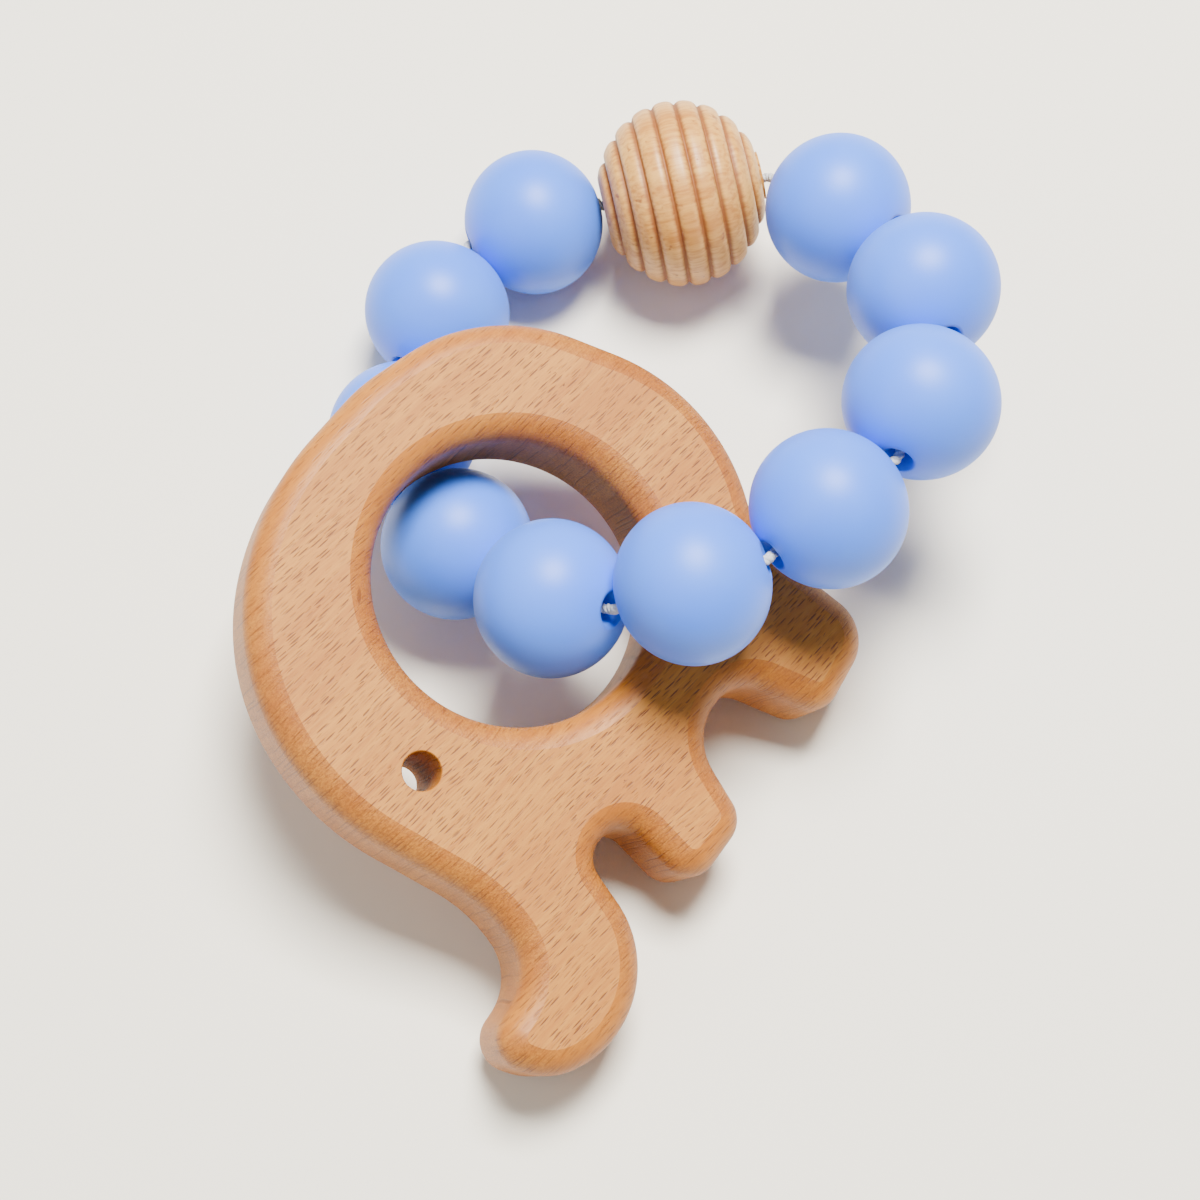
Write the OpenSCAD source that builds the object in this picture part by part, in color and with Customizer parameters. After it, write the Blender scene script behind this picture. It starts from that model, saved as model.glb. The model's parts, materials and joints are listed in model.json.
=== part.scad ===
// Teething ring: a flat wooden elephant with a large round hole, and a closed strand
// of silicone beads and one grooved wooden bead threaded on a cord through that hole.
// All sizes in millimetres. The table top is z = 0.
//
// The elephant lies back on one of the beads, so its plate leans; everything that
// belongs to the plate is drawn flat around the middle of the ring hole and then leaned.

/* [Elephant plate] */
// plate thickness
plate_t = 11; // [9:0.5:14]
// radius of the rounding along every edge of the plate
edge_r = 2.5; // [1:0.25:3]
// radius of the ring hole in the middle of its wall
ring_r = 13.6; // [13:0.1:15]
// diameter of the eye hole, drilled right through
eye_d = 3.6; // [2:0.1:5]
// middle of the eye hole, from the middle of the ring hole
eye_at = [-8.5, -18.5];

/* [Silicone beads] */
// widest diameter of a silicone bead
bead_d = 15; // [14:0.1:15.2]
// length of a silicone bead along its hole
bead_len = 14.1; // [13:0.1:14.3]
// diameter of the hole through a silicone bead
bead_bore = 2.6; // [2:0.1:4]

/* [Wooden bead] */
// diameter over the ribs of the wooden bead
wood_d = 19.2; // [16:0.2:22]
// length of the wooden bead along its hole
wood_len = 17; // [15:0.2:17.2]
// diameter of the hole through the wooden bead
wood_bore = 3.6; // [3:0.1:5]
// number of ribs turned on the wooden bead
ribs = 11; // [7:1:13]
// depth of the grooves between the ribs
groove_deep = 0.35; // [0.1:0.05:0.6]

/* [Cord] */
// diameter of the cord
cord_d = 1.0; // [0.8:0.1:1.4]
// widest diameter of the knot hidden in the wooden bead
knot_d = 3.0; // [2:0.1:3.2]
// length of the knot
knot_len = 4.2; // [3:0.2:6]

/* [Resting position] */
// middle of the ring hole above the table
ring_pos = [-11.35, -5.9, 15.08];
// how far the plate leans out of level, in degrees
lean = 19.5; // [15:0.5:25]
// direction the plate leans towards, in degrees
lean_dir = -33; // [-60:1:0]

/* [Hidden] */
$fn = 96;
eps = 0.01;

// Outline of the elephant in the middle of its thickness: corner points with the
// radius each one is rounded to. Rump, hind foot, belly, front foot, throat, trunk,
// forehead, back of the head and the long back.
outline = [
    [24.0, 6.5, 11], [36.0, -1.5, 4.5], [31.0, -10.5, 3], [22.0, -7.5, 4],
    [17.5, -13.0, 5.5], [23.0, -21.0, 3], [18.0, -28.0, 3], [11.0, -21.5, 2.5],
    [7.5, -25.0, 2.5], [15.0, -34.5, 10], [10.0, -43.0, 10], [5.0, -45.5, 6.5],
    [-2.0, -43.5, 3], [3.0, -36.0, 5.5], [-2.0, -30.0, 15], [-17.5, -22.5, 26],
    [-26.5, -8.5, 23], [-23.5, 7.0, 27], [-15.5, 17.5, 18], [-4.0, 27.0, 18],
    [19.5, 20.5, 20]
];
// spacing of the points along the rounded corners, and rings up each rounded edge
arc_step = 1.5;
edge_steps = 5;
ring_sides = 120;
// middles of the fans that fill the hind foot, the neck and the trunk
hubs = [[27, -3.5], [5.5, -31.5], [7, -40]];

// Route of the strand: where the wooden bead lies, then for each step to the next
// bead the direction on the table, the climb and the distance between the middles.
strand_start = [6.05, 41.1, 9.83];
route = [
    [187.5, -8.5, 15.75], [227.5, 0, 14.55], [258, 2, 14.55], [294, 9, 14.55],
    [317.5, 28.5, 14.55], [354.5, 26.5, 14.55], [30, 2, 14.55], [51, -2.5, 14.55],
    [84.5, -13, 14.55], [122.5, -17, 14.55]
];
// degrees each bead is turned away from the mean of the steps before and after it
turned_by = [0, -9, 4, 0, 0, 0, 0, 0, 0, 0, 0];
// the wooden bead sits loose on the cord: its own direction and climb, and where the
// cord leans in the mouths of its wide hole
wood_dir = [191, -7];
wood_lean = [[0.1, -0.6, 0.4], [-0.1, 0.9, -0.4]];
bead_count = 11;

beech = [0.87, 0.70, 0.55];
turned = [0.90, 0.75, 0.58];
blue = [0.55, 0.68, 0.93];
thread = [0.88, 0.87, 0.83];

// ---------- small vector helpers ----------

function unit(v) = v / norm(v);
function heading(az, climb) = [cos(climb) * cos(az), cos(climb) * sin(az), sin(climb)];
function wrap(i, n) = (i + n) % n;

// ---------- rounded outline ----------

// the corner before i, and the corner after it
function before(i) = outline[wrap(i - 1, len(outline))];
function after(i) = outline[wrap(i + 1, len(outline))];
function flat(p) = [p[0], p[1]];
function turn_left(v) = [-v[1], v[0]];

// points of one rounded corner, each as [place, outward direction]
function corner(i) =
    let (
        p = flat(outline[i]),
        r = outline[i][2],
        d1 = unit(p - flat(before(i))),
        d2 = unit(flat(after(i)) - p),
        cross_z = d1[0] * d2[1] - d1[1] * d2[0],
        turn = atan2(cross_z, d1 * d2),
        side = cross_z > 0 ? 1 : -1,
        first = p - d1 * r * tan(abs(turn) / 2),
        middle = first + turn_left(d1) * side * r,
        steps = max(2, ceil(abs(turn) * PI / 180 * r / arc_step))
    )
    [
        for (k = [0:steps])
            let (
                a = turn * k / steps,
                s = -side * turn_left(d1),
                q = [s[0] * cos(a) - s[1] * sin(a), s[0] * sin(a) + s[1] * cos(a)]
            )
            [middle + q * r, -side * q]
    ];

// the outline runs clockwise, so the outward direction is on the left of travel
rim = [for (i = [0:len(outline) - 1]) each corner(i)];

// index of the rim point nearest to q
function nearest(q) =
    let (d = [for (p = rim) norm(p[0] - q)])
    [for (i = [0:len(d) - 1]) if (d[i] == min(d)) i][0];

// number of the hole's point that lies on the same side as a rim point's inner edge
function hole_side(p, m) =
    let (q = p[0] - p[1] * edge_r)
    wrap(round(atan2(q[1], q[0]) * m / 360), m);

// indices from a up to b round a ring of n, a list backwards, and one face of a wall
// between two rings of n points
function run(a, b, n) = [for (k = [a:b < a ? b + n : b]) k % n];
function reversed(v) = [for (i = [len(v) - 1:-1:0]) v[i]];
function wall(low, high, k, n) = [low + k, low + (k + 1) % n, high + (k + 1) % n, high + k];

// the rings that build the plate, as [inset, height], from the under face to the upper
function edge_ring(k) = [edge_r * (1 - sin(90 * k / edge_steps)), edge_r * (1 - cos(90 * k / edge_steps))];
levels = concat(
    [for (k = [0:edge_steps]) [edge_ring(k)[0], -plate_t / 2 + edge_ring(k)[1]]],
    [for (k = [edge_steps:-1:0]) [edge_ring(k)[0], plate_t / 2 - edge_ring(k)[1]]]
);

// ---------- strand ----------

// middle of bead i: the wooden bead is number 0, the silicone beads follow
function middle(i) =
    i == 0 ? strand_start
    : middle(i - 1) + route[i - 1][2] * heading(route[i - 1][0], route[i - 1][1]);
middles = [for (i = [0:bead_count - 1]) middle(i)];

// direction of the hole through bead i, along the way the strand runs
function along(i) =
    i == 0 ? heading(wood_dir[0], wood_dir[1])
    : let (
        v = unit(middles[i] - middles[i - 1]) + unit(middles[wrap(i + 1, bead_count)] - middles[i]),
        c = cos(turned_by[i]),
        s = sin(turned_by[i])
    )
    unit([v[0] * c - v[1] * s, v[0] * s + v[1] * c, v[2]]);

function half(i) = i == 0 ? wood_len / 2 : bead_len / 2;

// where the cord enters and leaves bead i, just inside its mouths
function enters(i) = middles[i] - along(i) * (half(i) - 0.4) + (i == 0 ? wood_lean[0] : [0, 0, 0]);
function leaves(i) = middles[i] + along(i) * (half(i) - 0.4) + (i == 0 ? wood_lean[1] : [0, 0, 0]);

// cord inside bead i, straight along the middle of its hole
function inside(i) = [enters(i), middles[i] - along(i) * 2.4, middles[i] + along(i) * 2.4, leaves(i)];

// cord across the gap after bead i, one smooth bend
function bend(i) =
    let (
        j = wrap(i + 1, bead_count),
        p0 = leaves(i),
        p3 = enters(j),
        reach = norm(p3 - p0) * 0.45,
        p1 = p0 + along(i) * reach,
        p2 = p3 - along(j) * reach
    )
    [
        for (t = [0.25, 0.5, 0.75])
            p0 * pow(1 - t, 3) + 3 * p1 * t * pow(1 - t, 2)
            + 3 * p2 * t * t * (1 - t) + p3 * pow(t, 3)
    ];

cord_path = [for (i = [0:bead_count - 1]) each concat(inside(i), bend(i))];
cord_sides = 10;

// ring of points around the cord at path point i
function cord_ring(i) =
    let (
        n = len(cord_path),
        t = unit(unit(cord_path[i] - cord_path[wrap(i - 1, n)])
            + unit(cord_path[wrap(i + 1, n)] - cord_path[i])),
        s = unit(cross(t, [0, 0, 1])),
        u = cross(s, t)
    )
    [
        for (k = [0:cord_sides - 1])
            let (a = 360 * k / cord_sides)
            cord_path[i] + cord_d / 2 * (s * cos(a) + u * sin(a))
    ];

// ---------- placing ----------

module on_plate() {
    translate(ring_pos)
        rotate([0, 0, lean_dir]) rotate([0, lean, 0]) rotate([0, 0, -lean_dir])
            children();
}

module on_strand(i) {
    a = along(i);
    translate(middles[i])
        rotate([0, acos(a[2]), atan2(a[1], a[0])])
            children();
}

// ---------- sub-parts ----------

// Plate of beech with its ring hole, every edge rounded over. Each level is one ring of
// points round the outline and one round the hole. A flat face is filled by sectors
// between the outline and the hole, and by fans round a hub in the foot and the trunk.
module plate() {
    n = len(rim);
    m = ring_sides;
    top = len(levels) - 1;
    hole = len(levels) * n;
    hub = hole + len(levels) * m;
    points = concat(
        [for (l = levels) for (p = rim) [p[0][0] - p[1][0] * l[0], p[0][1] - p[1][1] * l[0], l[1]]],
        [
            for (l = levels) for (k = [0:m - 1])
                let (r = ring_r + l[0], a = 360 * k / m)
                [r * cos(a), r * sin(a), l[1]]
        ],
        [for (l = [levels[0], levels[top]]) for (h = hubs) [h[0], h[1], l[1]]]
    );
    rump = nearest([24.5, 6.9]);
    notch = nearest([22.2, -8.3]);
    throat = nearest([8.4, -25.65]);
    bend = nearest([15, -34.5]);
    curl = nearest([3, -36]);
    face = nearest([-1, -31.5]);
    round_hole = concat(run(notch, throat, n), run(face, rump, n));
    turns = [for (k = round_hole) hole_side(rim[k], m)];
    sector = function (l, i)
        let (j = (i + 1) % len(round_hole))
        concat(
            [l * n + round_hole[i], l * n + round_hole[j]],
            [for (k = run(turns[j], turns[i], m)) hole + l * m + k]
        );
    fan = function (l, h, ring)
        [
            for (i = [0:len(ring) - 1])
                [hub + (l == 0 ? 0 : len(hubs)) + h, l * n + ring[i], l * n + ring[(i + 1) % len(ring)]]
        ];
    flat_face = function (l) concat(
        [for (i = [0:len(round_hole) - 1]) sector(l, i)],
        fan(l, 0, run(rump, notch, n)),
        fan(l, 1, concat(run(throat, bend, n), run(curl, face, n))),
        fan(l, 2, run(bend, curl, n))
    );
    faces = concat(
        flat_face(top),
        [for (f = flat_face(0)) reversed(f)],
        [for (l = [0:top - 1]) for (k = [0:n - 1]) wall(l * n, (l + 1) * n, k, n)],
        [for (l = [0:top - 1]) for (k = [0:m - 1]) wall(hole + l * m, hole + (l + 1) * m, k, m)]
    );
    polyhedron(points, faces, convexity = 8);
}

module elephant_body() {
    color(beech)
        on_plate()
            difference() {
                plate();
                translate([eye_at[0], eye_at[1], -plate_t])
                    cylinder(d = eye_d, h = 2 * plate_t, $fn = 64);
            }
}

// Soft bead: a round side, a little shorter along its hole, with eased hole mouths.
module bead_shape() {
    bulge = bead_d / 2 - bead_len / 2;
    mouth = 0.7;
    difference() {
        rotate_extrude()
            intersection() {
                translate([bulge, 0]) circle(r = bead_len / 2);
                translate([0, -bead_len]) square([bead_d, 2 * bead_len]);
            }
        cylinder(d = bead_bore, h = 2 * bead_len, center = true, $fn = 48);
        for (s = [0, 1]) mirror([0, 0, s])
            translate([0, 0, bead_len / 2 - mouth])
                cylinder(d1 = bead_bore, d2 = bead_bore + 3 * mouth, h = 2 * mouth, $fn = 48);
    }
}

module silicone_bead(i) {
    color(blue) on_strand(i) bead_shape();
}

// Turned bead with a row of round ribs and a narrow groove between each pair.
module wooden_bead() {
    bulge = wood_d / 2 - wood_len / 2;
    pitch = 180 / ribs;
    mouth = 0.8;
    color(turned)
        on_strand(0)
            difference() {
                rotate_extrude()
                    difference() {
                        intersection() {
                            translate([bulge, 0]) circle(r = wood_len / 2);
                            translate([0, -wood_len]) square([wood_d, 2 * wood_len]);
                        }
                        for (k = [1:ribs - 1])
                            let (a = -90 + pitch * k)
                            translate([bulge, 0]) rotate(a)
                                translate([wood_len / 2 - groove_deep, 0])
                                    polygon([[0, 0], [2, 3], [2, -3]]);
                    }
                cylinder(d = wood_bore, h = 2 * wood_len, center = true, $fn = 48);
                for (s = [0, 1]) mirror([0, 0, s])
                    translate([0, 0, wood_len / 2 - mouth])
                        cylinder(d1 = wood_bore, d2 = wood_bore + 3 * mouth, h = 2 * mouth, $fn = 48);
            }
}

// The cord, one closed loop through every bead.
module cord() {
    n = len(cord_path);
    m = cord_sides;
    points = [for (i = [0:n - 1]) each cord_ring(i)];
    faces = [
        for (i = [0:n - 1]) for (k = [0:m - 1])
            let (f = wall(i * m, ((i + 1) % n) * m, k, m))
            each [[f[0], f[1], f[2]], [f[0], f[2], f[3]]]
    ];
    color(thread) polyhedron(points, faces, convexity = 8);
}

// The knot that closes the loop, hidden in the wooden bead: turns of cord side by side.
module knot() {
    turns = 3;
    turn_len = knot_len / turns;
    inner = cord_d / 2 + 0.03;
    outer = knot_d / 2;
    color(thread)
        on_strand(0)
            rotate_extrude($fn = 48)
                polygon(concat(
                    [[inner, -knot_len / 2]],
                    [
                        for (k = [0:turns - 1])
                            let (z = (k - turns / 2) * turn_len)
                            each [
                                [outer - 0.3, z + 0.02], [outer, z + 0.4],
                                [outer, z + turn_len - 0.4], [outer - 0.3, z + turn_len - 0.02]
                            ]
                    ],
                    [[inner, knot_len / 2]]
                ));
}

module silicone_bead_1() { silicone_bead(1); }
module silicone_bead_2() { silicone_bead(2); }
module silicone_bead_3() { silicone_bead(3); }
module silicone_bead_4() { silicone_bead(4); }
module silicone_bead_5() { silicone_bead(5); }
module silicone_bead_6() { silicone_bead(6); }
module silicone_bead_7() { silicone_bead(7); }
module silicone_bead_8() { silicone_bead(8); }
module silicone_bead_9() { silicone_bead(9); }
module silicone_bead_10() { silicone_bead(10); }

elephant_body();
cord();
knot();
wooden_bead();
silicone_bead_1();
silicone_bead_2();
silicone_bead_3();
silicone_bead_4();
silicone_bead_5();
silicone_bead_6();
silicone_bead_7();
silicone_bead_8();
silicone_bead_9();
silicone_bead_10();
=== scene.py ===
"""Looks of the teething ring: a beech elephant, a soft bead strand and a ribbed wooden bead.

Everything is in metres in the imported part's own frame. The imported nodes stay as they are
and are replaced, piece for piece, by finer meshes that ride on the same bodies.
"""

import json
import logging
import math
from dataclasses import dataclass
from enum import Enum
from typing import Any, Iterable, Optional, Sequence, Union

import bmesh
import bpy
from mathutils import Matrix, Vector, noise

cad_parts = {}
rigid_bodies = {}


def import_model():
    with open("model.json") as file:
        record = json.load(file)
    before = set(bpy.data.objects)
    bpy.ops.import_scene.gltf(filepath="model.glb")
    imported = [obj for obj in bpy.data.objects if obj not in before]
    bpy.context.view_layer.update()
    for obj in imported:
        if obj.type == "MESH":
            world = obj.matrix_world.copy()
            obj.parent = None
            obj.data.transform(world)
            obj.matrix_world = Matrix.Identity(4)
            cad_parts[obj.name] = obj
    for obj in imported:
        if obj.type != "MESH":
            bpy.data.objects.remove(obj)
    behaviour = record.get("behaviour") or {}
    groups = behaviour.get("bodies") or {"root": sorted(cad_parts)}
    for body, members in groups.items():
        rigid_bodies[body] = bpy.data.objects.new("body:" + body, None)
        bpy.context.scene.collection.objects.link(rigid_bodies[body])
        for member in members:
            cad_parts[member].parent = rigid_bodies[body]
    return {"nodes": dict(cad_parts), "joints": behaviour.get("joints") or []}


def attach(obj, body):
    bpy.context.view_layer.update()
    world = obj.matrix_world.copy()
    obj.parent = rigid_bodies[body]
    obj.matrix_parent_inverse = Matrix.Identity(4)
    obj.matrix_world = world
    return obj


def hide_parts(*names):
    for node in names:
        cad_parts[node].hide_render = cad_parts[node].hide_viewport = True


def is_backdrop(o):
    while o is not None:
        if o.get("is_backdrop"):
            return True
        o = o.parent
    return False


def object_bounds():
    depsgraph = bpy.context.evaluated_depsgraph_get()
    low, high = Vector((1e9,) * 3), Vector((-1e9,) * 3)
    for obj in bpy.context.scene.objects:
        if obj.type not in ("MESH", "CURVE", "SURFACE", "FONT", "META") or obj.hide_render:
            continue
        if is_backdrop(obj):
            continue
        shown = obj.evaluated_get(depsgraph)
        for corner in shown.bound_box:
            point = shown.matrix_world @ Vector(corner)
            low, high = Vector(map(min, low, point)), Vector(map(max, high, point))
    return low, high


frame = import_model()
CAD_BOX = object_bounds()

LOG = logging.getLogger("teether")
MM = 0.001
GRAIN_ANGLE = 47.0  # degrees from the plate's X axis, the way the wood's fibres run

Number = Union[int, float]
Colour = tuple[float, float, float]


def linear(red: int, green: int, blue: int) -> Colour:
    """Turns a colour as seen on a screen into the linear one that shaders use.

    Args:
        red: Red, from 0 to 255.
        green: Green, from 0 to 255.
        blue: Blue, from 0 to 255.

    Returns:
        The three linear values, from 0 to 1.
    """

    def one(value: int) -> float:
        """Returns one channel, linear."""
        share = value / 255
        return share / 12.92 if share <= 0.04045 else ((share + 0.055) / 1.055) ** 2.4

    return one(red), one(green), one(blue)


# ---------------------------------------------------------------- nodes as Python


class Wire:
    """One output socket. Python's operators on it add the Math nodes they stand for."""

    def __init__(self, board: "Board", socket: bpy.types.NodeSocket) -> None:
        """Keeps the socket and the board it is on."""
        self.board = board
        self.socket = socket

    def maths(self, operation: str, *others: Any) -> "Wire":
        """Adds a Math node with this wire first.

        Args:
            operation: The Math node's operation.
            *others: Its further inputs, as numbers or wires.

        Returns:
            The Math node's output.
        """
        return self.board.maths(operation, self, *others)

    def __add__(self, other: Any) -> "Wire":
        """Returns this plus other."""
        return self.maths("ADD", other)

    def __radd__(self, other: Any) -> "Wire":
        """Returns other plus this."""
        return self.maths("ADD", other)

    def __sub__(self, other: Any) -> "Wire":
        """Returns this minus other."""
        return self.maths("SUBTRACT", other)

    def __rsub__(self, other: Any) -> "Wire":
        """Returns other minus this."""
        return self.board.maths("SUBTRACT", other, self)

    def __mul__(self, other: Any) -> "Wire":
        """Returns this times other."""
        return self.maths("MULTIPLY", other)

    def __rmul__(self, other: Any) -> "Wire":
        """Returns other times this."""
        return self.maths("MULTIPLY", other)

    def __truediv__(self, other: Any) -> "Wire":
        """Returns this over other."""
        return self.maths("DIVIDE", other)

    def __pow__(self, other: Any) -> "Wire":
        """Returns this to the power of other."""
        return self.maths("POWER", other)


class Board:
    """A node tree, of a material or of Geometry Nodes, with one way to add a node."""

    def __init__(self, tree: bpy.types.NodeTree) -> None:
        """Keeps the tree."""
        self.tree = tree

    def node(
        self,
        kind: str,
        settings: Optional[dict[str, Any]] = None,
        values: Optional[dict[Any, Any]] = None,
    ) -> bpy.types.Node:
        """Adds one node.

        Args:
            kind: The node's type name.
            settings: The node's own settings, which are set first.
            values: A number, colour or wire for each named or numbered input.

        Returns:
            The new node.
        """
        made = self.tree.nodes.new(kind)
        for name, value in (settings or {}).items():
            setattr(made, name, value)
        for name, value in (values or {}).items():
            socket = made.inputs[name]
            if isinstance(value, Wire):
                self.tree.links.new(value.socket, socket)
            else:
                socket.default_value = value
        return made

    def wire(
        self,
        kind: str,
        settings: Optional[dict[str, Any]] = None,
        values: Optional[dict[Any, Any]] = None,
        out: Any = 0,
    ) -> Wire:
        """Adds one node and returns one of its outputs.

        Args:
            kind: The node's type name.
            settings: The node's own settings.
            values: A number, colour or wire for each input.
            out: The name or number of the output.

        Returns:
            That output.
        """
        return Wire(self, self.node(kind, settings, values).outputs[out])

    def maths(self, operation: str, *terms: Any) -> Wire:
        """Adds a Math node on numbers and wires and returns its output."""
        return self.wire(
            "ShaderNodeMath", {"operation": operation}, dict(enumerate(terms))
        )

    def vector_maths(self, operation: str, *terms: Any, out: Any = 0) -> Wire:
        """Adds a Vector Math node on vectors and wires and returns one of its outputs."""
        return self.wire(
            "ShaderNodeVectorMath",
            {"operation": operation},
            dict(enumerate(terms)),
            out,
        )

    def step(self, value: Wire, low: Number, high: Number) -> Wire:
        """Adds a smooth step.

        Args:
            value: What is compared.
            low: Where the step is 0.
            high: Where the step is 1, which may lie below low.

        Returns:
            A wire that goes smoothly from 0 to 1.
        """
        return self.wire(
            "ShaderNodeMapRange",
            {"interpolation_type": "SMOOTHSTEP"},
            {"Value": value, "From Min": low, "From Max": high},
        )

    def mix(
        self,
        factor: Union[Wire, Number],
        first: Union[Wire, Colour],
        second: Union[Wire, Colour],
        blend: str = "MIX",
    ) -> Wire:
        """Mixes two colours.

        Args:
            factor: How much of the second one shows.
            first: A colour or a wire that carries one.
            second: The other colour.
            blend: The Mix node's way of blending.

        Returns:
            The mixed colour.
        """
        values = {0: factor}
        for place, colour in ((6, first), (7, second)):
            values[place] = colour if isinstance(colour, Wire) else (*colour, 1.0)
        settings = {"data_type": "RGBA", "blend_type": blend}
        return self.wire("ShaderNodeMix", settings, values, 2)

    def cloud(
        self, place: Wire, scale: Sequence[float], detail: float = 2.0, rough: float = 0.5
    ) -> Wire:
        """Adds Noise stretched by its own scale along each direction.

        Args:
            place: The coordinates.
            scale: How many lumps there are in one unit, in each direction.
            detail: The Noise node's detail.
            rough: The Noise node's roughness.

        Returns:
            A value from about 0 to 1.
        """
        stretched = self.vector_maths("MULTIPLY", place, tuple(scale))
        values = {"Vector": stretched, "Scale": 1.0, "Detail": detail, "Roughness": rough}
        return self.wire("ShaderNodeTexNoise", {"noise_dimensions": "3D"}, values)


class Finish:
    """A material whose node tree is built by its paint method."""

    name: str

    def material(self) -> bpy.types.Material:
        """Builds the material once and returns it."""
        known = bpy.data.materials.get(self.name)
        if known:
            return known
        made = bpy.data.materials.new(self.name)
        made.use_nodes = True
        made.node_tree.nodes.clear()
        board = Board(made.node_tree)
        shader = board.node("ShaderNodeBsdfPrincipled")
        output = board.node("ShaderNodeOutputMaterial")
        made.node_tree.links.new(shader.outputs[0], output.inputs["Surface"])
        self.paint(board, shader)
        return made

    def paint(self, board: Board, shader: bpy.types.Node) -> None:
        """Feeds the shader's sockets."""
        raise NotImplementedError

    @staticmethod
    def feed(board: Board, shader: bpy.types.Node, **wires: Any) -> None:
        """Sets or links the shader's sockets.

        Args:
            board: The node tree.
            shader: The shader node.
            **wires: A value or wire for each socket, named in small letters with _ for a blank.
        """
        for name, value in wires.items():
            socket = shader.inputs[name.replace("_", " ").title().replace("Ior", "IOR")]
            if isinstance(value, Wire):
                board.tree.links.new(value.socket, socket)
            else:
                socket.default_value = value

    @staticmethod
    def bump(board: Board, height: Wire, depth: float, strength: float) -> Wire:
        """Adds a Bump node.

        Args:
            board: The node tree.
            height: The relief, in shares of depth.
            depth: What a height of 1 stands for, in metres.
            strength: How strongly the relief shows.

        Returns:
            The bumped normal.
        """
        values = {"Height": height, "Distance": depth, "Strength": strength}
        return board.wire("ShaderNodeBump", None, values)


def placed(board: Board, to_local: Matrix) -> Wire:
    """Gives Object coordinates in a piece's own frame, in millimetres.

    Args:
        board: The node tree.
        to_local: Turns the row frame, in metres, into the piece's frame, in metres.

    Returns:
        The coordinates.
    """
    coordinates = board.wire("ShaderNodeTexCoord", None, None, "Object")
    shift = to_local.to_translation() / MM
    values = {
        "Vector": coordinates,
        "Location": tuple(shift),
        "Rotation": tuple(to_local.to_3x3().to_euler("XYZ")),
        "Scale": (1 / MM, 1 / MM, 1 / MM),
    }
    return board.wire("ShaderNodeMapping", {"vector_type": "POINT"}, values)


# ---------------------------------------------------------------- finishes


@dataclass(frozen=True)
class Strokes:
    """One layer of short strokes, in millimetres.

    The cell's three sizes run along, across and through the grain.
    """

    cell: tuple[float, float, float]
    half_length: float
    half_width: float
    shift: tuple[float, float, float] = (0.0, 0.0, 0.0)


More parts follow.
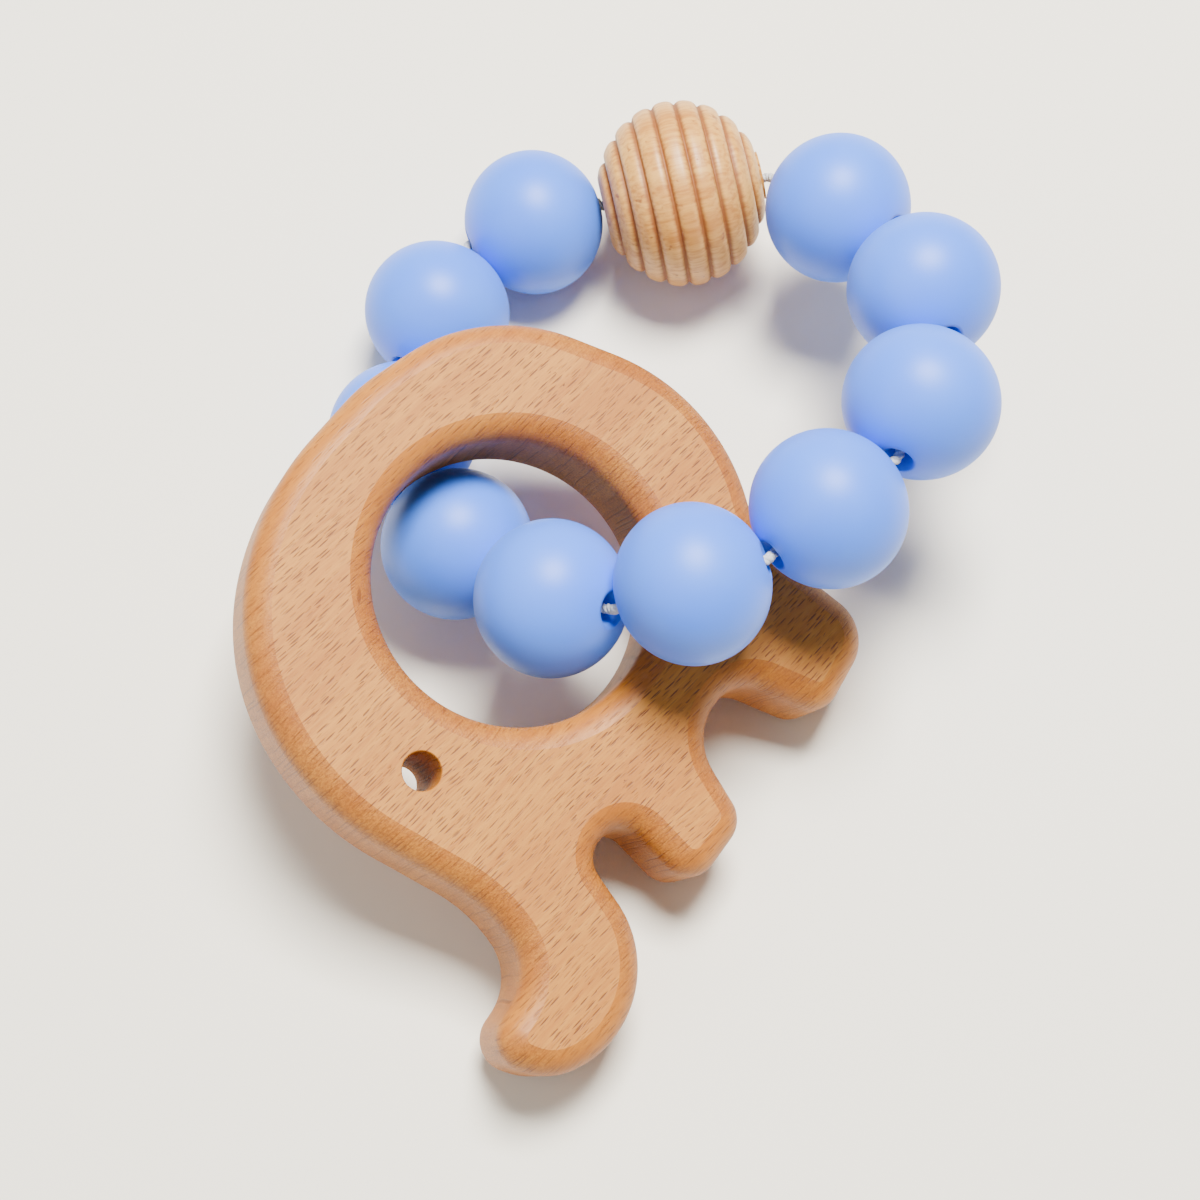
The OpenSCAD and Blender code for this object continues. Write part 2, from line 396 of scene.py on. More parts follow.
@dataclass(frozen=True)
class Beech(Finish):
    """Sanded beech with short dark ray flecks, browner where the edges are rounded."""

    name: str
    to_local: Matrix
    pale: Colour = linear(192, 127, 44)
    mid: Colour = linear(174, 107, 32)
    fleck: Colour = linear(92, 42, 8)
    edge: Colour = linear(246, 228, 204)
    end: Colour = linear(126, 68, 20)
    crack: tuple[float, float, float] = (-14.9, -2.9, 5.0)
    coarse: Strokes = Strokes((1.9, 0.5, 8.0), 0.9, 0.09)
    fine: Strokes = Strokes((1.5, 0.4, 6.0), 0.6, 0.09, (7.3, 3.1, 2.0))
    relief: float = 0.00006

    def flecks(self, board: Board, place: Wire, strokes: Strokes) -> Wire:
        """Draws one stroke in each cell of a stretched Voronoi pattern.

        Args:
            board: The node tree.
            place: Coordinates with X along the grain, in millimetres.
            strokes: The sizes of the cells and of the strokes in them.

        Returns:
            A mask, 1 in the middle of a stroke.
        """
        shifted = board.vector_maths("ADD", place, strokes.shift)
        cells = board.vector_maths("DIVIDE", shifted, strokes.cell)
        voronoi = board.node(
            "ShaderNodeTexVoronoi", {"feature": "F1"}, {"Vector": cells, "Scale": 1.0}
        )
        centre = Wire(board, voronoi.outputs["Position"])
        away = board.vector_maths("SUBTRACT", cells, centre)
        shape = (strokes.cell[0] / strokes.half_length, strokes.cell[1] / strokes.half_width, 0.4)
        oval = board.vector_maths("MULTIPLY", away, shape)
        reach = board.vector_maths("LENGTH", oval, out="Value")
        chance = Wire(board, voronoi.outputs["Color"])
        lot = board.wire("ShaderNodeSeparateColor", None, {0: chance})
        return board.step(reach, 1.0, 0.45) * board.step(lot, 0.05, 0.75)

    def paint(self, board: Board, shader: bpy.types.Node) -> None:
        """Feeds the shader's sockets."""
        turn = Matrix.Rotation(math.radians(-GRAIN_ANGLE), 4, "Z")
        straight = placed(board, turn @ self.to_local)
        drift = board.cloud(straight, (0.06, 0.12, 0.1), 1.0)
        wander = board.wire(
            "ShaderNodeCombineXYZ", None, {"X": 0.0, "Y": (drift - 0.5) * 1.6, "Z": 0.0}
        )
        place = board.vector_maths("ADD", straight, wander)
        band = board.wire("ShaderNodeAttribute", {"attribute_name": "band"}, None, "Fac")
        end = board.wire("ShaderNodeAttribute", {"attribute_name": "end_grain"}, None, "Fac")
        fibre = board.cloud(place, (0.45, 8.0, 1.4), 3.0, 0.65)
        streak = board.cloud(place, (0.09, 1.5, 0.35), 3.0, 0.55)
        ring = board.cloud(place, (0.02, 0.16, 0.06), 1.0)
        coarse = self.flecks(board, place, self.coarse)
        fine = self.flecks(board, place, self.fine)
        patch = board.step(board.cloud(place, (0.08, 0.22, 0.1), 1.0), 0.28, 0.62)
        dark = board.maths("MINIMUM", coarse * (0.6 + 0.4 * patch) + fine * 0.45, 1.0)
        tone = board.step(streak * 0.6 + ring * 0.4, 0.34, 0.66)
        colour = board.mix(tone, self.pale, self.mid)
        colour = board.mix(board.step(fibre, 0.40, 0.70) * 0.22, colour, self.end)
        grit = board.cloud(place, (3.2, 5.5, 2.6), 3.0, 0.7)
        # The rounded band is made browner and a little darker, in patches along the rings.
        band_darkening = band * (0.35 + 0.5 * board.step(ring * 0.5 + drift * 0.5, 0.3, 0.7))
        colour = board.mix(band_darkening, colour, board.mix(1.0, colour, self.edge, "MULTIPLY"))
        mottle = band * end * (0.18 + 0.82 * board.step(grit, 0.40, 0.62))
        colour = board.mix(mottle * 0.62, colour, self.end)
        colour = board.mix(dark * (0.85 - 0.30 * band), colour, self.fleck)
        flat_place = placed(board, self.to_local)
        across = board.vector_maths("SUBTRACT", flat_place, self.crack)
        narrow = board.vector_maths("MULTIPLY", across, (3.4, 0.9, 0.35))
        nick = board.vector_maths("LENGTH", narrow, out="Value")
        split = board.step(nick + (grit - 0.5) * 0.5, 0.9, 0.45)
        colour = board.mix(split * 0.55, colour, self.fleck)
        height = fibre * 0.35 - dark * 0.8 - split * 1.2 + mottle * 0.5
        self.feed(
            board,
            shader,
            base_color=colour,
            roughness=0.56 + 0.10 * fibre - 0.12 * band,
            normal=self.bump(board, height, self.relief, 0.45),
            specular_ior_level=0.42,
        )


@dataclass(frozen=True)
class Turned(Finish):
    """Turned pale wood: fine grain along the bead's axis, painted orange-brown shade in grooves.
    """

    name: str
    to_local: Matrix
    pale: Colour = linear(216, 162, 82)
    mid: Colour = linear(194, 134, 60)
    # painted shade colour for the bottoms of the grooves
    groove: Colour = linear(122, 60, 12)
    speck: Colour = linear(120, 52, 18)
    relief: float = 0.00006

    def paint(self, board: Board, shader: bpy.types.Node) -> None:
        """Feeds the shader's sockets."""
        place = placed(board, self.to_local)
        depth = board.wire("ShaderNodeAttribute", {"attribute_name": "groove"}, None, "Fac")
        grain = board.cloud(place, (2.6, 2.6, 0.22), 3.0, 0.6)
        broad = board.cloud(place, (0.28, 0.28, 0.05), 2.0)
        tool = board.cloud(place, (0.5, 0.5, 5.0), 2.0, 0.6)
        spots = board.step(board.cloud(place, (0.9, 0.9, 0.7), 2.0, 0.6), 0.66, 0.74)
        tone = board.step(broad * 0.6 + grain * 0.4, 0.36, 0.64)
        colour = board.mix(tone, self.pale, self.mid)
        colour = board.mix(board.step(grain, 0.42, 0.70) * 0.30, colour, self.mid, "MULTIPLY")
        # Painted shade in the grooves: darker orange-brown where they are deepest.
        groove_shade = board.step(depth + (grain - 0.5) * 0.3, 0.12, 0.72)
        colour = board.mix(groove_shade * 0.85, colour, self.groove)
        colour = board.mix(spots * 0.55, colour, self.speck)
        height = grain * 0.5 + tool * 0.35 - spots * 0.9
        self.feed(
            board,
            shader,
            base_color=colour,
            roughness=0.34 + 0.16 * grain + 0.2 * groove_shade,
            normal=self.bump(board, height, self.relief, 0.4),
            specular_ior_level=0.5,
        )


@dataclass(frozen=True)
class Silicone(Finish):
    """Soft matt silicone: a light blue that scatters a little light."""

    name: str = "soft_blue_silicone"
    base: Colour = linear(68, 126, 246)
    dust: Colour = linear(80, 138, 248)
    relief: float = 0.00002
    scatter_depth: float = 0.0018

    def paint(self, board: Board, shader: bpy.types.Node) -> None:
        """Feeds the shader's sockets."""
        place = placed(board, Matrix.Identity(4))
        skin = board.cloud(place, (7.0, 7.0, 7.0), 2.0, 0.6)
        haze = board.cloud(place, (0.16, 0.16, 0.16), 2.0)
        bloom = board.step(haze * 0.75 + skin * 0.25, 0.38, 0.62) * 0.35
        colour = board.mix(bloom, self.base, self.dust)
        self.feed(
            board,
            shader,
            base_color=colour,
            roughness=0.38 + 0.08 * haze + 0.04 * skin,
            normal=self.bump(board, skin, self.relief, 0.25),
            specular_ior_level=0.42,
            subsurface_weight=0.12,
            subsurface_radius=(0.45, 0.65, 1.0),
            subsurface_scale=self.scatter_depth,
            sheen_weight=0.04,
            sheen_roughness=0.5,
        )


@dataclass(frozen=True)
class Thread(Finish):
    """Thin off-white cord with a fibrous surface."""

    name: str = "braided_thread"
    base: Colour = linear(206, 208, 208)
    shade: Colour = linear(160, 164, 170)
    relief: float = 0.00005

    def paint(self, board: Board, shader: bpy.types.Node) -> None:
        """Feeds the shader's sockets."""
        place = placed(board, Matrix.Identity(4))
        hairs = board.cloud(place, (14.0, 14.0, 14.0), 3.0, 0.7)
        colour = board.mix(board.step(hairs, 0.38, 0.66), self.base, self.shade)
        self.feed(
            board,
            shader,
            base_color=colour,
            roughness=0.82 + 0.1 * hairs,
            normal=self.bump(board, hairs, self.relief, 0.6),
            sheen_weight=0.25,
        )


@dataclass(frozen=True)
class Table(Finish):
    """A plain pale table top."""

    name: str = "pale_table"
    base: Colour = linear(246, 240, 224)

    def paint(self, board: Board, shader: bpy.types.Node) -> None:
        """Feeds the shader's sockets."""
        self.feed(board, shader, base_color=(*self.base, 1.0), roughness=0.85)


# ---------------------------------------------------------------- geometry nodes


class Shape(Enum):
    """The kinds of value that a Geometry Nodes input can take."""

    SIZE = "NodeSocketFloat"
    COUNT = "NodeSocketInt"
    FINISH = "NodeSocketMaterial"
    MESH = "NodeSocketGeometry"


class Recipe:
    """A Geometry Nodes tree with named inputs, and the way to run it to a plain mesh."""

    def __init__(self, name: str, inputs: dict[str, Shape]) -> None:
        """Makes an empty tree with a Mesh input, the named inputs and a Mesh output."""
        self.tree = bpy.data.node_groups.new(name, "GeometryNodeTree")
        self.board = Board(self.tree)
        face = self.tree.interface
        face.new_socket("Mesh", in_out="INPUT", socket_type=Shape.MESH.value)
        for label, kind in inputs.items():
            face.new_socket(label, in_out="INPUT", socket_type=kind.value)
        face.new_socket("Mesh", in_out="OUTPUT", socket_type=Shape.MESH.value)
        self.given = self.board.node("NodeGroupInput")
        self.result = self.board.node("NodeGroupOutput")

    def value(self, label: str) -> Wire:
        """Returns the wire of one named input."""
        return Wire(self.board, self.given.outputs[label])

    def end(self, mesh: Wire) -> None:
        """Ends the tree in Realize Instances and Set Material."""
        whole = self.board.wire("GeometryNodeRealizeInstances", None, {"Geometry": mesh})
        values = {"Geometry": whole, "Material": self.value("Finish")}
        dressed = self.board.wire("GeometryNodeSetMaterial", None, values)
        self.tree.links.new(dressed.socket, self.result.inputs[0])

    def run(
        self, name: str, start: bpy.types.Mesh, values: dict[str, Any], place: Matrix
    ) -> bpy.types.Object:
        """Runs the tree and keeps its result as a plain mesh in place.

        Args:
            name: The piece's name.
            start: The mesh that goes into the tree.
            values: The value of each named input.
            place: Where the result goes in the row frame.

        Returns:
            The finished object, at the origin, with its place in its mesh.
        """
        helper = bpy.data.objects.new(name + "_start", start)
        bpy.context.scene.collection.objects.link(helper)
        modifier = helper.modifiers.new("recipe", "NODES")
        modifier.node_group = self.tree
        for item in self.tree.interface.items_tree:
            if item.in_out == "INPUT" and item.name in values:
                modifier[item.identifier] = values[item.name]
        helper.update_tag()
        bpy.context.view_layer.update()
        graph = bpy.context.evaluated_depsgraph_get()
        mesh = bpy.data.meshes.new_from_object(helper.evaluated_get(graph))
        helper.modifiers.clear()
        bpy.data.objects.remove(helper)
        mesh.materials.clear()
        mesh.materials.append(values["Finish"])
        mesh.polygons.foreach_set("material_index", [0] * len(mesh.polygons))
        mesh.transform(place)
        return finished(name, mesh)


def finished(
    name: str, mesh: bpy.types.Mesh, sharp: Optional[float] = None
) -> bpy.types.Object:
    """Makes an object of a mesh whose faces point outwards.

    Args:
        name: The piece's name.
        mesh: Its mesh.
        sharp: The angle in degrees from which an edge looks sharp, or None.

    Returns:
        The linked object.
    """
    shell = bmesh.new()
    shell.from_mesh(mesh)
    bmesh.ops.recalc_face_normals(shell, faces=shell.faces)
    if shell.calc_volume(signed=True) < 0:
        bmesh.ops.reverse_faces(shell, faces=shell.faces)
    shell.to_mesh(mesh)
    shell.free()
    mesh.shade_smooth()
    if sharp is not None:
        mesh.set_sharp_from_angle(angle=math.radians(sharp))
    mesh.name = name
    piece = bpy.data.objects.new(name, mesh)
    bpy.context.scene.collection.objects.link(piece)
    return piece


class BeadRecipe(Recipe):
    """Turns a grid into a bead: a round side, eased mouths, a hole, and ribs if asked.

    The grid's X runs round the bead. Its Y runs up the outside, and its last part back
    down through the hole, so that the mesh closes when the seams are merged.
    """

    OUTER_SHARE = 0.88
    FLARE_FROM = 0.66
    SEAM = 0.000002

    def __init__(self) -> None:
        """Builds the tree."""
        sizes = ("Width", "Length", "Bore", "Mouth", "Groove", "Ribs", "Sharpness")
        inputs = {label: Shape.SIZE for label in sizes}
        inputs.update({"Around": Shape.COUNT, "Along": Shape.COUNT, "Finish": Shape.FINISH})
        super().__init__("bead_recipe", inputs)
        board, value = self.board, self.value
        counts = {"Vertices X": value("Around"), "Vertices Y": value("Along")}
        grid = board.wire("GeometryNodeMeshGrid", None, {"Size X": 1.0, "Size Y": 1.0, **counts})
        where = board.wire("GeometryNodeInputPosition")
        split = board.node("ShaderNodeSeparateXYZ", None, {0: where})
        turn = (Wire(board, split.outputs[0]) + 0.5) * (2 * math.pi)
        along = Wire(board, split.outputs[1]) + 0.5
        wide = value("Width") * 0.5
        reach = (value("Mouth") / value("Width")).maths("ARCCOSINE")
        tall = value("Length") * 0.5 / reach.maths("SINE")
        latitude = (along / self.OUTER_SHARE * 2 - 1) * reach
        phase = ((latitude / math.pi + 0.5) * value("Ribs")).maths("FRACT")
        valley = (phase * 2 - 1).maths("ABSOLUTE") ** value("Sharpness")
        cut = valley * value("Groove")
        side_r = (wide - cut) * latitude.maths("COSINE")
        side_z = (tall - cut) * latitude.maths("SINE")
        back = (along - self.OUTER_SHARE) / (1 - self.OUTER_SHARE)
        height = value("Length") * 0.5
        ease = (value("Mouth") - value("Bore")) * 0.5
        lean = (back * 2 - 1).maths("ABSOLUTE")
        flare = board.wire(
            "ShaderNodeMapRange",
            {"clamp": True},
            {"Value": lean, "From Min": self.FLARE_FROM, "From Max": 1.0},
        )
        bore_r = value("Bore") * 0.5 + ease * flare**2.0
        bore_z = (1 - back * 2) * (height - ease * (1 - flare) * 0.6)
        inner = board.maths("GREATER_THAN", along, self.OUTER_SHARE + 0.0001)
        radial = side_r + (bore_r - side_r) * inner
        rise = side_z + (bore_z - side_z) * inner
        place = board.wire(
            "ShaderNodeCombineXYZ",
            None,
            {0: radial * turn.maths("COSINE"), 1: radial * turn.maths("SINE"), 2: rise},
        )
        # groove holds how deep in a groove each point lies; the turned wood paints shade there
        marked = board.wire(
            "GeometryNodeStoreNamedAttribute",
            {"data_type": "FLOAT", "domain": "POINT"},
            {"Geometry": grid, "Name": "groove", "Value": valley * (1 - inner)},
        )
        shape = {"Geometry": marked, "Position": place}
        moved = board.wire("GeometryNodeSetPosition", None, shape)
        seams = {"Geometry": moved, "Distance": self.SEAM}
        self.end(board.wire("GeometryNodeMergeByDistance", None, seams))


class CordRecipe(Recipe):
    """Sweeps a lobed section along a route and twists it, like a laid cord."""

    SECTION_POINTS = 24
    LOBE_DEPTH = 0.26

    def __init__(self) -> None:
        """Builds the tree."""
        inputs = {
            "Diameter": Shape.SIZE,
            "Plies": Shape.SIZE,
            "Twists": Shape.SIZE,
            "Rings": Shape.COUNT,
            "Finish": Shape.FINISH,
        }
        super().__init__("cord_recipe", inputs)
        board, value = self.board, self.value
        route = board.wire("GeometryNodeMeshToCurve", None, {"Mesh": value("Mesh")})
        steps = {"Curve": route, "Count": value("Rings")}
        route = board.wire("GeometryNodeResampleCurve", None, steps)
        travel = board.wire("GeometryNodeSplineParameter", None, None, "Factor")
        tilt = {"Curve": route, "Tilt": travel * value("Twists") * (2 * math.pi)}
        route = board.wire("GeometryNodeSetCurveTilt", None, tilt)
        circle = {"Resolution": self.SECTION_POINTS, "Radius": value("Diameter") * 0.5}
        section = board.wire("GeometryNodeCurvePrimitiveCircle", None, circle)
        spot = board.wire("GeometryNodeInputPosition")
        parts = board.node("ShaderNodeSeparateXYZ", None, {0: spot})
        across, up = (Wire(board, parts.outputs[side]) for side in (0, 1))
        angle = board.maths("ARCTAN2", up, across)
        lobe = (angle * value("Plies") * 0.5).maths("COSINE").maths("ABSOLUTE")
        scale = (1 - self.LOBE_DEPTH) + self.LOBE_DEPTH * lobe
        place = board.wire(
            "ShaderNodeVectorMath", {"operation": "SCALE"}, {0: spot, "Scale": scale}
        )
        shape = {"Geometry": section, "Position": place}
        section = board.wire("GeometryNodeSetPosition", None, shape)
        tube = board.wire("GeometryNodeCurveToMesh", None, {0: route, 1: section})
        self.end(tube)


# ---------------------------------------------------------------- the elephant


Outward = tuple[Vector, Vector]  # a point of an edge and its direction out of the wood


@dataclass(frozen=True)
class RoundedEdge:
    """How an edge is rounded over, in millimetres and degrees.

    The round ends in a soft crease where it meets the flat face. Its width wavers a
    little along the edge, as hand sanding leaves it.
    """

    depth: float
    crease: float
    steps: int
    trim: float = 0.15
    waver: float = 0.16
    waver_scale: float = 0.09

    def profile(self, at: Vector, thickness: float) -> list[tuple[float, float]]:
        """Gives the rings up one edge.

        Args:
            at: The point of the outline.
            thickness: The plate's thickness.

        Returns:
            The inset and height of each ring, from the wall to the upper flat face.
        """
        waver = self.waver * noise.noise(
            Vector((at.x * self.waver_scale, at.y * self.waver_scale, 3.0))
        )
        start = math.radians(self.crease)
        width = self.depth - self.trim + waver
        rings = []
        for step in range(self.steps + 1):
            slope = math.pi / 2 + (start - math.pi / 2) * step / self.steps
            inset = width * (1 - math.sin(slope)) / (1 - math.sin(start))
            rise = self.depth * math.cos(slope) / math.cos(start)
            rings.append((inset, thickness / 2 - self.depth + rise))
        return rings


@dataclass
class ElephantPlate:
    """The flat beech elephant, its big ring hole and its eye, all edges rounded over.

    Sizes are in millimetres and angles in degrees. The corners are the outline's points
    with the radius of each, clockwise, measured from the middle of the ring hole.
    """

    thickness: float = 11.0
    edge: RoundedEdge = RoundedEdge(depth=2.5, crease=15.0, steps=9)
    eye_edge: RoundedEdge = RoundedEdge(depth=0.22, crease=30.0, steps=3)
    ring: float = 13.6
    ring_steps: int = 220
    eye: float = 3.6
    eye_at: tuple[float, float] = (-8.5, -18.5)
    eye_steps: int = 48
    middle: tuple[float, float, float] = (-11.35, -5.9, 15.08)
    lean: float = 19.5
    lean_dir: float = -33.0
    spacing: float = 0.55
    sharp_from: float = 11.0
    corners: tuple[tuple[float, float, float], ...] = (
        (24.0, 6.5, 11), (36.0, -1.5, 4.5), (31.0, -10.5, 3), (22.0, -7.5, 4),
        (17.5, -13.0, 5.5), (23.0, -21.0, 3), (18.0, -28.0, 3), (11.0, -21.5, 2.5),
        (7.5, -25.0, 2.5), (15.0, -34.5, 10), (10.0, -43.0, 10), (5.0, -45.5, 6.5),
        (-2.0, -43.5, 3), (3.0, -36.0, 5.5), (-2.0, -30.0, 15), (-17.5, -22.5, 26),
        (-26.5, -8.5, 23), (-23.5, 7.0, 27), (-15.5, 17.5, 18), (-4.0, 27.0, 18),
        (19.5, 20.5, 20),
    )

    def place(self) -> Matrix:
        """Returns the plate's place in the row frame, for a mesh in metres."""
        turn = Matrix.Rotation(math.radians(self.lean_dir), 4, "Z")
        tilt = Matrix.Rotation(math.radians(self.lean), 4, "Y")
        shift = Matrix.Translation(Vector(self.middle) * MM)
        return shift @ turn @ tilt @ turn.inverted()

    def outline(self) -> list[Outward]:
        """Walks round the outline.

        Returns:
            Each point of it with its outward direction, evenly spaced, clockwise.
        """
        raw: list[Outward] = []
        count = len(self.corners)
        for index in range(count):
            point = Vector(self.corners[index][:2])
            radius = self.corners[index][2]
            ahead = (Vector(self.corners[(index + 1) % count][:2]) - point).normalized()
            behind = (point - Vector(self.corners[index - 1][:2])).normalized()
            turn = math.atan2(behind.cross(ahead), behind.dot(ahead))
            side = 1 if turn > 0 else -1
            left = Vector((-behind.y, behind.x))
            centre = point - behind * radius * math.tan(abs(turn) / 2) + left * side * radius
            steps = max(4, math.ceil(abs(turn) * radius / (self.spacing * 0.8)))
            for step in range(steps + 1):
                spoke = Matrix.Rotation(turn * step / steps, 2) @ (-side * left)
                raw.append((centre + spoke * radius, -side * spoke))
        even: list[Outward] = []
        for (start, start_out), (end, end_out) in zip(raw, raw[1:] + raw[:1]):
            pieces = max(1, round((end - start).length / self.spacing))
            for piece in range(pieces):
                share = piece / pieces
                out = start_out.lerp(end_out, share).normalized()
                even.append((start.lerp(end, share), out))
        return even

    def wall(
        self,
        shell: bmesh.types.BMesh,
        path: Sequence[Outward],
        edge: RoundedEdge,
        marks: dict[str, Any],
    ) -> tuple[list, list]:
        """Builds the wall that runs round one closed path.

        Args:
            shell: The mesh that grows.
            path: The points of the path.
            edge: How the wall's two edges are rounded.
            marks: The layers that hold the band and end grain values.

        Returns:
            The vertices of the upper and of the lower rim on the flat faces.
        """
        grain_turn = math.radians(GRAIN_ANGLE)
        grain = Vector((math.cos(grain_turn), math.sin(grain_turn)))
        columns = []
        for point, out in path:
            rings = []
            up = edge.profile(point, self.thickness)
            middle = [(0.0, up[0][1] * share) for share in (-0.5, 0.0, 0.5)]
            for inset, height in [(i, -h) for i, h in reversed(up)] + middle + up:
                spot = point - out * inset
                vertex = shell.verts.new((spot.x, spot.y, height))
                vertex[marks["end_grain"]] = abs(out.dot(grain)) ** 1.5
                rings.append(vertex)
            columns.append(rings)
        count = len(columns)
        for index in range(count):
            one, two = columns[index], columns[(index + 1) % count]
            for ring in range(len(one) - 1):
                face = shell.faces.new((one[ring], one[ring + 1], two[ring + 1], two[ring]))
                face[marks["band"]] = 1.0
        return [c[-1] for c in columns], [c[0] for c in columns]

    @staticmethod
    def hole(centre: tuple[float, float], radius: float, count: int) -> list[Outward]:
        """Walks round a hole.

        Args:
            centre: The middle of the hole.
            radius: Its radius.
            count: The number of points.

        Returns:
            The points, whose outward directions point into the hole.
        """
        turns = [2 * math.pi * step / count for step in range(count)]
        spokes = [Vector((math.cos(turn), math.sin(turn))) for turn in turns]
        return [(Vector(centre) + spoke * radius, -spoke) for spoke in spokes]

    def mesh(self) -> bpy.types.Mesh:
        """Builds the plate's mesh, in metres, lying flat around the ring hole."""
        shell = bmesh.new()
        marks = {
            "band": shell.faces.layers.float.new("band"),
            "end_grain": shell.verts.layers.float.new("end_grain"),
        }
        ring = self.hole((0, 0), self.ring, self.ring_steps)
        eye = self.hole(self.eye_at, self.eye / 2, self.eye_steps)
        edges = ((self.outline(), self.edge), (ring, self.edge), (eye, self.eye_edge))
        rims = [self.wall(shell, path, edge, marks) for path, edge in edges]
        for level in (0, 1):
            border = []
            for rim in rims:
                loop = rim[level]
                border += [shell.edges.get((loop[k - 1], loop[k])) for k in range(len(loop))]
            bmesh.ops.triangle_fill(shell, use_beauty=True, edges=border)
        bmesh.ops.scale(shell, vec=(MM, MM, MM), verts=shell.verts)
        mesh = bpy.data.meshes.new("elephant_plate")
        shell.to_mesh(mesh)
        shell.free()
        mesh.transform(self.place())
        return mesh

    def build(self) -> None:
        """Makes the piece and dresses it."""
        piece = finished("elephant_plate", self.mesh(), sharp=self.sharp_from)
        finish = Beech("sanded_beech", self.place().inverted())
        piece.data.materials.append(finish.material())
        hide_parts("elephant_body")
        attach(piece, "elephant")
        LOG.info("elephant_plate: %d faces", len(piece.data.polygons))


# ---------------------------------------------------------------- the strand


@dataclass(frozen=True)
class BeadShape:
    """A bead's sizes in millimetres, and how finely it is meshed."""

    width: float
    length: float
    bore: float
    mouth: float
    groove: float
    around: int
    along: int
    ribs: float = 11.0
    sharpness: float = 3.2

    def inputs(self, finish: bpy.types.Material) -> dict[str, Any]:
        """Gives the bead recipe's inputs.

        Args:
            finish: The bead's material.

        Returns:
            A value for each of the recipe's named inputs.
        """
        return {
            "Width": self.width * MM,
            "Length": self.length * MM,
            "Bore": self.bore * MM,
            "Mouth": self.mouth * MM,
            "Groove": self.groove * MM,
            "Ribs": self.ribs,
            "Sharpness": self.sharpness,
            "Around": self.around,
            "Along": self.along,
            "Finish": finish,
        }


@dataclass
class BeadPlace:
    """Where one bead sits: its body, its middle and the direction of its hole."""

    body: str
    middle: Vector
    along: Vector

    def place(self) -> Matrix:
        """Returns the matrix that puts a bead turned about Z here."""
        turn = self.along.to_track_quat("Z", "Y").to_matrix().to_4x4()
        return Matrix.Translation(self.middle) @ turn


@dataclass
class Strand:
    """The closed strand: ten soft beads, one wooden bead and the cord through them.

    Sizes are in millimetres. In the wooden bead the cord runs a little off the middle,
    by wood_lean at each mouth, because the bead hangs on it.
    """

    soft: BeadShape = BeadShape(15.0, 14.1, 2.6, 3.2, 0.0, around=97, along=89)
    wood: BeadShape = BeadShape(19.2, 17.0, 3.6, 5.0, 0.5, around=145, along=230)
    cord: float = 1.0
    cord_plies: float = 3.0
    cord_twists: float = 90.0
    cord_rings: int = 1100
    mouth_inset: float = 0.4
    core_half: float = 2.4
    bend: float = 0.45
    wood_lean: tuple[tuple[float, float, float], ...] = ((0.1, -0.6, 0.4), (-0.1, 0.9, -0.4))

    def places(self) -> list[BeadPlace]:
        """Reads where each bead spins, in order along the cord, the wooden one first."""
        spins = [joint for joint in frame["joints"] if joint["parent"] == "strand"]
        return [
            BeadPlace(spin["child"], Vector(spin["pos_m"]), Vector(spin["axis"]).normalized())
            for spin in spins
        ]

    def beads(self) -> None:
        """Makes all the beads and dresses them."""
        recipe = BeadRecipe()
        for bead in self.places():
            if bead.body == "wooden_bead":
                name, node, slot = "ribbed_wooden_bead", "wooden_bead", "turned_wood"
                shape = self.wood
                finish = Turned("ribbed_turned_wood", bead.place().inverted())
            else:
                name, node, slot = "soft_" + bead.body, "silicone_" + bead.body, "blue_silicone"
                shape = self.soft
                finish = Silicone()
            start = bpy.data.meshes.new(name + "_start")
            piece = recipe.run(name, start, shape.inputs(finish.material()), bead.place())
            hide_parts(node)
            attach(piece, bead.body)
            LOG.info("%s: %d faces", name, len(piece.data.polygons))

    def route(self) -> list[Vector]:
        """Follows the cord through every bead and over every gap.

        Returns:
            The points of the closed route, in metres.
        """
        beads = self.places()
        ends = []
        for index, bead in enumerate(beads):
            shape = self.wood if index == 0 else self.soft
            half = (shape.length / 2 - self.mouth_inset) * MM
            lean = [Vector(shift) * MM * (index == 0) for shift in self.wood_lean]
            reach = bead.along * half
            ends.append((bead.middle - reach + lean[0], bead.middle + reach + lean[1]))
        points = []
        for index, bead in enumerate(beads):
            enter, leave = ends[index]
            core = bead.along * self.core_half * MM
            points += [enter, bead.middle - core, bead.middle + core, leave]
            other = (index + 1) % len(beads)
            arrive = ends[other][0]
            reach = (arrive - leave).length * self.bend
            first, last = leave + bead.along * reach, arrive - beads[other].along * reach
            for share in (0.25, 0.5, 0.75):
                rest = 1 - share
                near = leave * rest**3 + first * 3 * share * rest**2
                far = last * 3 * share**2 * rest + arrive * share**3
                points.append(near + far)
        return points

    def thread(self) -> None:
        """Makes the cord and dresses it and the knot."""
        points = self.route()
        mesh = bpy.data.meshes.new("cord_route")
        edges = [(index, (index + 1) % len(points)) for index in range(len(points))]
        mesh.from_pydata([tuple(point) for point in points], edges, [])
        finish = Thread().material()
        values = {
            "Diameter": self.cord * MM,
            "Plies": self.cord_plies,
            "Twists": self.cord_twists,
            "Rings": self.cord_rings,
            "Finish": finish,
        }
        piece = CordRecipe().run("twisted_cord", mesh, values, Matrix.Identity(4))
        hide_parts("cord")
        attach(piece, "strand")
        knot = frame["nodes"]["knot"]
        knot.data.materials.clear()
        knot.data.materials.append(finish)
        LOG.info("twisted_cord: %d faces", len(piece.data.polygons))

    def build(self) -> None:
        """Makes the whole strand."""
        self.beads()
        self.thread()


# ---------------------------------------------------------------- the studio


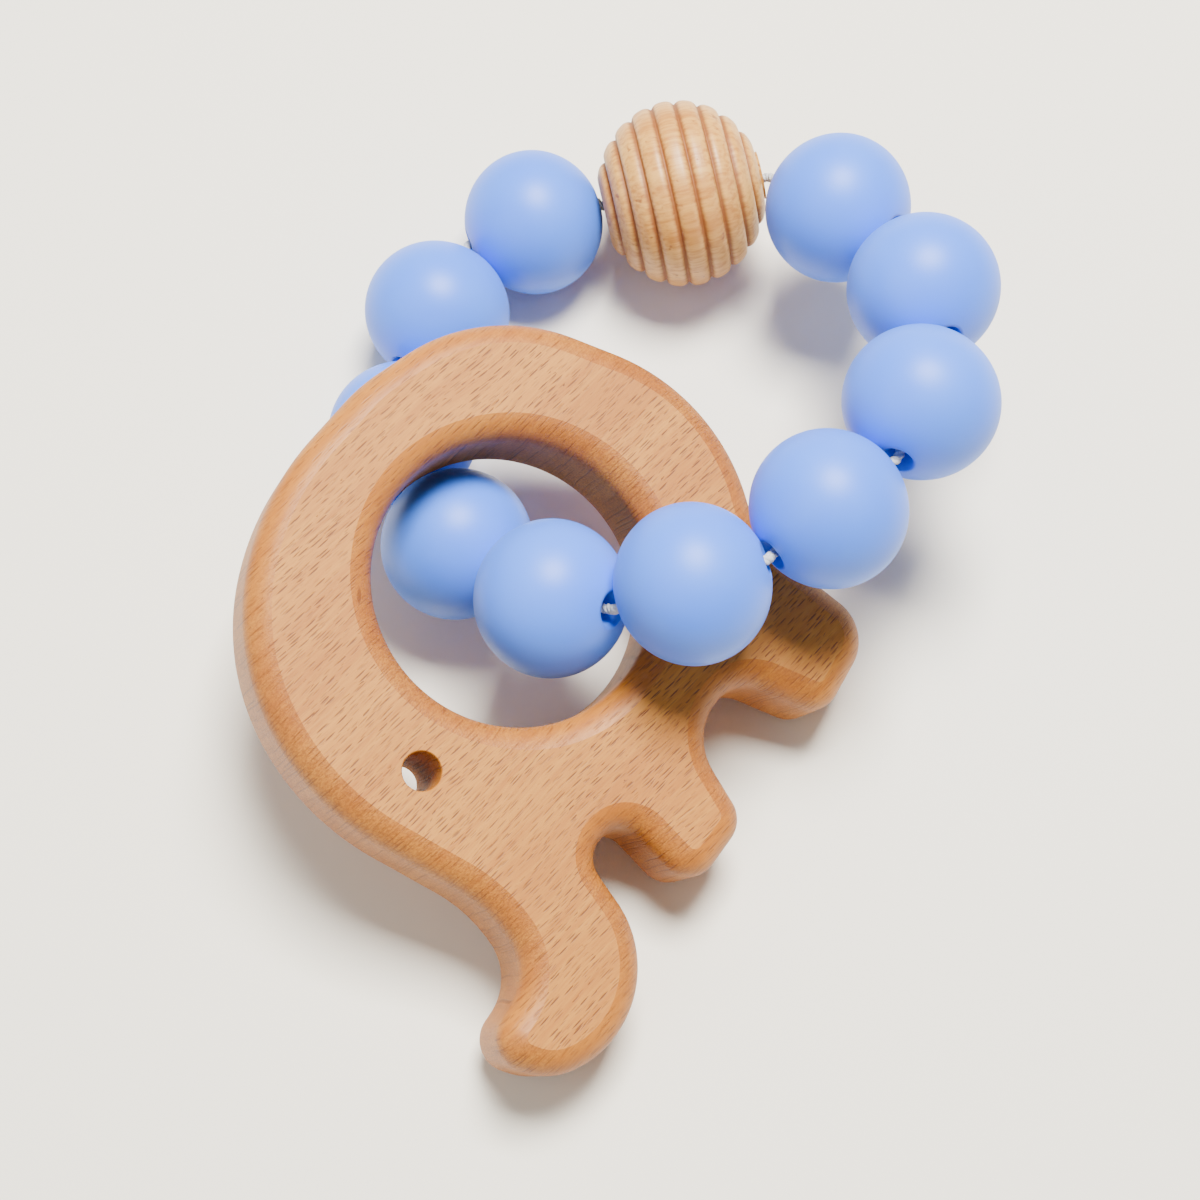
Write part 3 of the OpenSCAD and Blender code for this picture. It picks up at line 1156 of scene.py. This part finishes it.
@dataclass
class SoftBox:
    """One square soft light that looks at the object."""

    name: str
    at: tuple[float, float, float]
    size: float
    watts: float
    tint: Colour = (1.0, 1.0, 1.0)

    def build(self, target: Vector) -> None:
        """Makes the light.

        Args:
            target: The point it looks at.
        """
        lamp = bpy.data.lights.new(self.name, "AREA")
        lamp.shape = "SQUARE"
        lamp.size, lamp.energy, lamp.color = self.size, self.watts, self.tint
        light = bpy.data.objects.new(self.name, lamp)
        light.location = self.at
        light.rotation_mode = "QUATERNION"
        light.rotation_quaternion = (target - light.location).to_track_quat("-Z", "Y")
        bpy.context.scene.collection.objects.link(light)


@dataclass
class Studio:
    """A pale table, a soft key from above and behind, and the camera.

    Places and sizes are in metres, the lens in millimetres and the pitch in degrees.
    """

    camera_at: tuple[float, float, float] = (-0.00243, -0.09295, 0.22341)
    camera_pitch: float = 22.44
    lens: float = 71.5
    lights: tuple[SoftBox, ...] = (
        SoftBox("key", (0.06, 0.16, 0.55), 0.22, 11.5, (1.0, 0.985, 0.96)),
        SoftBox("fill", (-0.45, -0.25, 0.45), 0.6, 1.6, (0.97, 0.98, 1.0)),
    )
    sensor: float = 36.0
    clip: tuple[float, float] = (0.01, 10.0)
    look_at: tuple[float, float, float] = (0.0, 0.0, 0.012)
    sky: float = 0.32
    sky_tint: Colour = (1.0, 0.99, 0.97)
    table_span: float = 1.5

    def aim_camera(self) -> None:
        """Makes the scene's camera."""
        data = bpy.data.cameras.new("camera")
        data.lens, data.sensor_width = self.lens, self.sensor
        data.clip_start, data.clip_end = self.clip
        camera = bpy.data.objects.new("camera", data)
        camera.location = self.camera_at
        camera.rotation_euler = (math.radians(self.camera_pitch), 0.0, 0.0)
        bpy.context.scene.collection.objects.link(camera)
        bpy.context.scene.camera = camera

    def lay_table(self) -> None:
        """Makes the table top."""
        table = bpy.data.meshes.new("table")
        span = self.table_span
        rim = [(-span, -span, 0), (span, -span, 0), (span, span, 0), (-span, span, 0)]
        table.from_pydata(rim, [], [(0, 1, 2, 3)])
        table.materials.append(Table().material())
        top = bpy.data.objects.new("table", table)
        bpy.context.scene.collection.objects.link(top)
        top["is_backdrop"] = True

    def light_sky(self) -> None:
        """Makes the even light from all round."""
        world = bpy.data.worlds.new("sky")
        bpy.context.scene.world = world
        world.use_nodes = True
        ground = world.node_tree.nodes["Background"]
        ground.inputs["Color"].default_value = (*self.sky_tint, 1.0)
        ground.inputs["Strength"].default_value = self.sky

    def build(self) -> None:
        """Makes the camera, the table, the lights and the sky."""
        self.aim_camera()
        self.lay_table()
        for light in self.lights:
            light.build(Vector(self.look_at))
        self.light_sky()


def corners(box: Iterable[Vector]) -> list[list[float]]:
    """Makes a box's corners plain.

    Args:
        box: The two corners.

    Returns:
        The same corners as lists of numbers.
    """
    return [[float(x) for x in corner] for corner in box]


def main() -> None:
    """Builds the studio and every piece."""
    logging.basicConfig(level=logging.INFO, format="%(name)s: %(message)s")
    Studio().build()
    ElephantPlate().build()
    Strand().build()
    sizes = {"cad": corners(CAD_BOX), "visual": corners(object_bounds())}
    LOG.info("sizes: %s", sizes)


if __name__ == "__main__":
    main()
